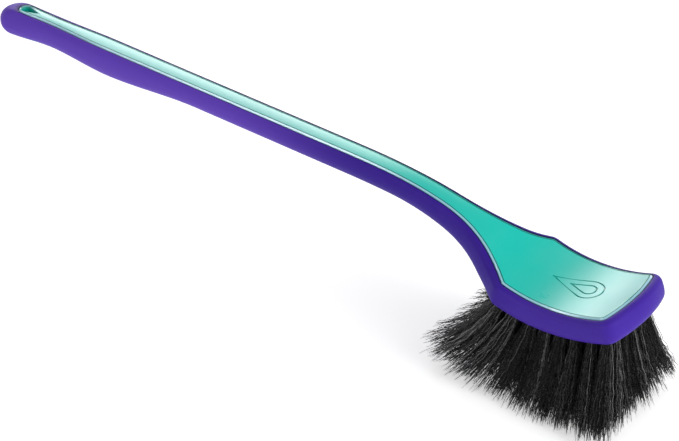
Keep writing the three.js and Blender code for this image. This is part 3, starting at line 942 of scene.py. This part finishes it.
def make_bristles(tree, row):
    lines = tuft_rows[row]
    base = points_with(f"tufts_{row + 1}", [in_frame(line["mouth"]) for line in lines], {
        "reach": [line["reach"] * MM for line in lines],
        "bore": [line["bore"] for line in lines],
        "flat": [line["flat"] for line in lines],
        "room": [tip_room(row, column) for column in range(TUFT_COLUMNS)],
    })
    return grown_from(base, tree, {
        "Filaments": FILAMENTS, "Clumps": CLUMPS, "Root radius": TUFT_RADIUS * MM,
        "Filament radius": FILAMENT_RADIUS * MM, "Spread": TIP_SPREAD, "Crimp": CRIMP * MM,
        "Seed": SEED + 100 * row,
    }, f"bristles_row_{row + 1}")


# ---- Staples ---------------------------------------------------------

def staple_tree(material):
    tree, given = new_tree("staples", {"Width": "Float", "Height": "Float", "Thickness": "Float"})
    size = add(tree, "ShaderNodeCombineXYZ",
               {0: given["Thickness"], 1: given["Width"], 2: given["Height"]}).outputs[0]
    plate = add(tree, "GeometryNodeMeshCube", {"Size": size}).outputs["Mesh"]
    turn = add(tree, "FunctionNodeAlignRotationToVector", {"Vector": named(tree, "bore")}, axis="Z")
    many = add(tree, "GeometryNodeInstanceOnPoints",
               {"Points": given["Geometry"], "Instance": plate, "Rotation": turn.outputs[0]})
    real = add(tree, "GeometryNodeRealizeInstances", {"Geometry": many.outputs[0]}).outputs[0]
    real = add(tree, "GeometryNodeRemoveAttribute", {"Geometry": real, "Name": "bore"}).outputs[0]
    done = add(tree, "GeometryNodeSetMaterial", {"Geometry": real, "Material": material}).outputs[0]
    add(tree, "NodeGroupOutput", {0: done})
    return tree


def make_staples(material):
    rise = STAPLE_HEIGHT / 2 - TUFT_HOLE_DEPTH
    base = points_with("anchors", [in_frame(line["mouth"] + line["bore"] * rise) for line in all_tufts],
                       {"bore": [line["bore"] for line in all_tufts]})
    sizes = {"Width": STAPLE_WIDTH * MM, "Height": STAPLE_HEIGHT * MM, "Thickness": STAPLE_THICKNESS * MM}
    return grown_from(base, staple_tree(material), sizes, "staples")


# ---- Finishes --------------------------------------------------------

def moulded_surface():
    """Shared by the moulded pieces: a stipple for the bump, slow mottling, and scuffs that dull the shine."""
    tree = bpy.data.node_groups.new("moulded_surface", "ShaderNodeTree")
    for label in ("Stipple Size", "Mottle", "Roughness", "Scuffing"):
        tree.interface.new_socket(label, in_out="INPUT", socket_type="NodeSocketFloat")
    for label in ("Height", "Mottle", "Roughness"):
        tree.interface.new_socket(label, in_out="OUTPUT", socket_type="NodeSocketFloat")
    given = add(tree, "NodeGroupInput").outputs
    place = object_place(tree)
    density = number(tree, "DIVIDE", 1.0, given["Stipple Size"])
    stipple = add(tree, "ShaderNodeTexNoise", {"Vector": place, "Scale": density, "Detail": 3.0})
    slow = add(tree, "ShaderNodeTexNoise", {"Vector": place, "Scale": 38.0, "Detail": 4.0})
    stretched = add(tree, "ShaderNodeMapping", {"Vector": place, "Scale": (220.0, 1500.0, 1500.0)}).outputs[0]
    scuffs = add(tree, "ShaderNodeTexNoise",
                 {"Vector": stretched, "Scale": 1.0, "Detail": 5.0, "Roughness": 0.7})
    band = add(tree, "ShaderNodeMapRange", {"Value": scuffs.outputs[0], "From Min": 0.5, "From Max": 0.8})
    mottle = number(tree, "SUBTRACT", slow.outputs[0], 0.5)
    dulled = times(tree, band.outputs[0], given["Scuffing"])
    rough = number(tree, "MULTIPLY_ADD", mottle, 0.12, given["Roughness"])
    add(tree, "NodeGroupOutput", {
        "Height": stipple.outputs[0], "Mottle": times(tree, mottle, given["Mottle"]),
        "Roughness": number(tree, "ADD", rough, dulled)})
    return tree


def new_material(name, inputs=None):
    material = bpy.data.materials.new(name)
    material.use_nodes = True
    tree = material.node_tree
    tree.nodes.clear()
    shader = add(tree, "ShaderNodeBsdfPrincipled", inputs)
    add(tree, "ShaderNodeOutputMaterial", {"Surface": shader.outputs[0]})
    return material, tree, shader


def place_surface(tree, shader, group, bump_strength, bump_distance, **values):
    surface = add(tree, "ShaderNodeGroup", node_tree=group)
    for label, value in values.items():
        surface.inputs[label.replace("_", " ")].default_value = value
    bump = add(tree, "ShaderNodeBump", {"Height": surface.outputs["Height"]})
    bump.inputs["Strength"].default_value = bump_strength
    bump.inputs["Distance"].default_value = bump_distance
    tree.links.new(surface.outputs["Roughness"], shader.inputs["Roughness"])
    tree.links.new(bump.outputs[0], shader.inputs["Normal"])
    return surface


def object_place(tree):
    return add(tree, "ShaderNodeTexCoord").outputs["Object"]


def blended(tree, factor, a, b):
    node = add(tree, "ShaderNodeMix", data_type="RGBA")
    tree.links.new(factor, node.inputs[0])
    for socket, value in ((node.inputs[6], a), (node.inputs[7], b)):
        if isinstance(value, bpy.types.NodeSocket):
            tree.links.new(value, socket)
        else:
            socket.default_value = (*value, 1)
    return node.outputs[2]


def along_brush(tree, start_u, end_u):
    """From 0 at one place along the brush to 1 at another."""
    x = add(tree, "ShaderNodeSeparateXYZ", {0: object_place(tree)}).outputs["X"]
    node = add(tree, "ShaderNodeMapRange", {
        "Value": x, "From Min": (start_u + SHOULDER_X) * MM, "From Max": (end_u + SHOULDER_X) * MM,
    }, interpolation_type="SMOOTHSTEP")
    return node.outputs[0]


def below_handle_face(tree, start_depth, end_depth):
    """From 0 at one depth below the handle's face to 1 at another."""
    height = add(tree, "ShaderNodeSeparateXYZ", {0: object_place(tree)}).outputs["Z"]
    node = add(tree, "ShaderNodeMapRange", {
        "Value": height, "From Min": (FACE_Z - start_depth) * MM, "From Max": (FACE_Z - end_depth) * MM})
    return node.outputs[0]


def lightened(tree, colour, mottle, lighter):
    factor = number(tree, "MAXIMUM", mottle, 0.0)
    return blended(tree, factor, colour, lighter)


def edge_mark(tree, sign):
    """How far a face carries a painted highlight, for a sign of 1, or painted shade, for a sign of -1."""
    mark = add(tree, "ShaderNodeAttribute", attribute_name="edge").outputs["Fac"]
    return number(tree, "MAXIMUM", times(tree, mark, float(sign)), 0.0)


def core_plastic(group):
    material, tree, shader = new_material("core_plastic", {"IOR": 1.5})
    surface = place_surface(tree, shader, group, 0.10, 0.0002,
                            Stipple_Size=0.0011, Mottle=0.35, Roughness=0.30, Scuffing=0.06)
    base_teal = (0.0, 0.56, 0.465)
    painted_sheen_teal = (0.09, 0.50, 0.45)
    # Paler towards the handle's tip, on its face only and not on the walls below it: a painted sheen.
    body = blended(tree, along_brush(tree, -60, -200), base_teal, painted_sheen_teal)
    body = blended(tree, below_handle_face(tree, 0.4, 3), body, base_teal)
    # Darker and greyer towards the front of the head's plate: painted shade.
    body = blended(tree, along_brush(tree, 10, 74), body, (0.035, 0.39, 0.365))
    body = lightened(tree, body, surface.outputs["Mottle"], (0.10, 0.62, 0.54))
    # Faces marked as dark lines take painted shade, and those marked as bright edges a painted highlight that
    # is also less rough.
    body = blended(tree, edge_mark(tree, -1), body, (0.0, 0.16, 0.14))
    bright = edge_mark(tree, 1)
    body = blended(tree, bright, body, (0.36, 0.66, 0.80))
    tree.links.new(body, shader.inputs["Base Color"])
    rough = number(tree, "MULTIPLY_ADD", bright, -0.12, surface.outputs["Roughness"])
    tree.links.new(rough, shader.inputs["Roughness"])
    return material


def soft_grip(group):
    material, tree, shader = new_material("soft_grip", {"IOR": 1.45, "Specular IOR Level": 0.09})
    surface = place_surface(tree, shader, group, 0.22, 0.00025,
                            Stipple_Size=0.0007, Mottle=0.45, Roughness=0.46, Scuffing=0.12)
    shaded_neck_purple = (0.034, 0.009, 0.26)
    worn = (0.10, 0.045, 0.45)
    # Darker at the neck, lighter along the grip, and between the two on the head's rim: painted shade and
    # light on one purple moulding.
    body = blended(tree, along_brush(tree, -105, -240), shaded_neck_purple, (0.108, 0.044, 0.45))
    body = blended(tree, along_brush(tree, -14, 22), body, (0.052, 0.019, 0.31))
    body = lightened(tree, body, surface.outputs["Mottle"], worn)
    # Faces marked as dark lines take painted shade.
    body = blended(tree, edge_mark(tree, -1), body, (0.012, 0.004, 0.06))
    tree.links.new(body, shader.inputs["Base Color"])
    return material


def bristle_finish():
    material, tree, shader = new_material("bristle", {"IOR": 1.53})
    shade = add(tree, "ShaderNodeAttribute", attribute_name="shade").outputs["Fac"]
    dust = add(tree, "ShaderNodeTexNoise",
               {"Vector": object_place(tree), "Scale": 900.0, "Detail": 2.0}).outputs[0]
    # Filaments with a high shade are lighter grey and shinier: partly random tone, partly painted highlights
    # along the strands.
    light = add(tree, "ShaderNodeMapRange", {"Value": shade, "From Min": 0.52, "From Max": 0.94}).outputs[0]
    body = blended(tree, number(tree, "POWER", light, 1.6), (0.004, 0.004, 0.0045), (0.15, 0.15, 0.155))
    body = blended(tree, times(tree, dust, 0.12), body, (0.05, 0.05, 0.05))
    tree.links.new(body, shader.inputs["Base Color"])
    rough = number(tree, "MULTIPLY_ADD", dust, 0.2, 0.16)
    tree.links.new(rough, shader.inputs["Roughness"])
    tree.links.new(number(tree, "MULTIPLY_ADD", light, 0.75, 0.12), shader.inputs["Specular IOR Level"])
    return material


def staple_steel():
    material, tree, shader = new_material("staple_steel", {"Metallic": 1.0})
    drawn_lines = add(tree, "ShaderNodeMapping",
                      {"Vector": object_place(tree), "Scale": (9000.0, 900.0, 9000.0)}).outputs[0]
    streaks = add(tree, "ShaderNodeTexNoise", {"Vector": drawn_lines, "Scale": 1.0, "Detail": 4.0}).outputs[0]
    body = blended(tree, streaks, (0.42, 0.43, 0.44), (0.66, 0.67, 0.68))
    tree.links.new(body, shader.inputs["Base Color"])
    tree.links.new(number(tree, "MULTIPLY_ADD", streaks, 0.25, 0.25), shader.inputs["Roughness"])
    return material


def finish_with(piece, material):
    piece.data.materials.clear()
    piece.data.materials.append(material)


# ---- Setting ---------------------------------------------------------

CAMERA_AZIMUTH = 37.662
CAMERA_ELEVATION = 35.6
CAMERA_AIM = Vector((0.0358, -0.0046, 0.05))
CAMERA_DISTANCE = 1.4017
CAMERA_LENS = 118.76


def toward(azimuth, elevation):
    """The direction from the brush out to somewhere, by compass angle and height."""
    a = math.radians(azimuth)
    e = math.radians(elevation)
    return Vector((math.sin(a) * math.cos(e), -math.cos(a) * math.cos(e), math.sin(e)))


def stand(thing, aim, azimuth, elevation, distance):
    """Puts a camera or a light at a distance from its aim, facing it."""
    out = toward(azimuth, elevation)
    thing.location = aim + out * distance
    thing.rotation_euler = (-out).to_track_quat("-Z", "Y").to_euler()


def make_camera():
    data = bpy.data.cameras.new("camera")
    data.lens = CAMERA_LENS
    data.sensor_width = 36
    data.clip_start = 0.05
    data.clip_end = 20
    camera = linked("camera", data)
    stand(camera, CAMERA_AIM, CAMERA_AZIMUTH, CAMERA_ELEVATION, CAMERA_DISTANCE)
    bpy.context.scene.camera = camera


def softbox(name, azimuth, elevation, distance, size, radiance, aim=(0.0, 0.0, 0.06), gives="both"):
    """A rectangular soft light whose face has the given brightness: it gives shine, plain light or both."""
    data = bpy.data.lights.new(name, "AREA")
    data.shape = "RECTANGLE"
    data.size, data.size_y = size
    data.energy = radiance * size[0] * size[1] * math.pi
    light = linked(name, data)
    stand(light, Vector(aim), azimuth, elevation, distance)
    light.visible_camera = False
    light.visible_diffuse = gives != "shine"
    light.visible_glossy = gives != "plain"


def make_lights():
    """A white room that is bright low down and dark overhead, with soft lights."""
    world = bpy.data.worlds.new("studio")
    world.use_nodes = True
    tree = world.node_tree
    direction = add(tree, "ShaderNodeTexCoord").outputs["Generated"]
    height = add(tree, "ShaderNodeSeparateXYZ", {0: direction}).outputs["Z"]
    strength = add(tree, "ShaderNodeMapRange", {
        "Value": height, "From Min": 0.45, "From Max": 0.68, "To Min": 0.8, "To Max": 0.04,
    }, interpolation_type="SMOOTHSTEP").outputs[0]
    tree.links.new(strength, tree.nodes["Background"].inputs["Strength"])
    tree.nodes["Background"].inputs["Color"].default_value = (1.0, 1.0, 1.0, 1)
    bpy.context.scene.world = world
    softbox("top", 180, 82, 1.9, (1.8, 1.8), 1.45, gives="plain")
    softbox("right", 90, 30, 1.7, (1.1, 1.1), 4.6, aim=(0.2, 0.0, 0.06))
    softbox("back", 217, 20, 2.2, (3.0, 0.8), 5.0, gives="shine")
    softbox("along_handle", 217.7, 34, 1.2, (0.7, 0.6), 4.0, aim=(-0.23, 0.0, 0.1), gives="shine")
    softbox("along_edges", 311, 49, 2.2, (0.6, 0.6), 12.0, gives="shine")
    softbox("low_front", 350, 6, 2.2, (1.8, 0.5), 7.0, gives="shine")


def make_floor():
    mesh = bpy.data.meshes.new("floor")
    reach = 6.0
    corners = [(-reach, -reach, 0), (reach, -reach, 0), (reach, reach, 0), (-reach, reach, 0)]
    mesh.from_pydata(corners, [], [(0, 1, 2, 3)])
    floor = linked("floor", mesh)
    white = (1.0, 1.0, 1.0, 1)
    material = new_material("floor", {
        "Base Color": (0.82, 0.82, 0.82, 1), "Roughness": 0.9, "Specular IOR Level": 0.1,
        "Emission Color": white, "Emission Strength": 0.5})[0]
    mesh.materials.append(material)


# ---- Assembly --------------------------------------------------------

make_camera()
make_lights()
make_floor()
bpy.context.scene.view_settings.view_transform = "Standard"

surface_group = moulded_surface()
core = make_core()
finish_with(core, core_plastic(surface_group))
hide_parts("handle_core")
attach(core, "root")

moulding = make_moulding()
finish_with(moulding, soft_grip(surface_group))
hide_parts("grip_overmould")
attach(moulding, "root")

bristle_nodes = bristle_tree(bristle_finish())
for row in range(TUFT_ROWS):
    bristles = make_bristles(bristle_nodes, row)
    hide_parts(*[f"tuft_r{row + 1}_c{column + 1}" for column in range(TUFT_COLUMNS)])
    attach(bristles, "root")

staples = make_staples(staple_steel())
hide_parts(*[f"staple_row_{row + 1}" for row in range(TUFT_ROWS)])
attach(staples, "root")
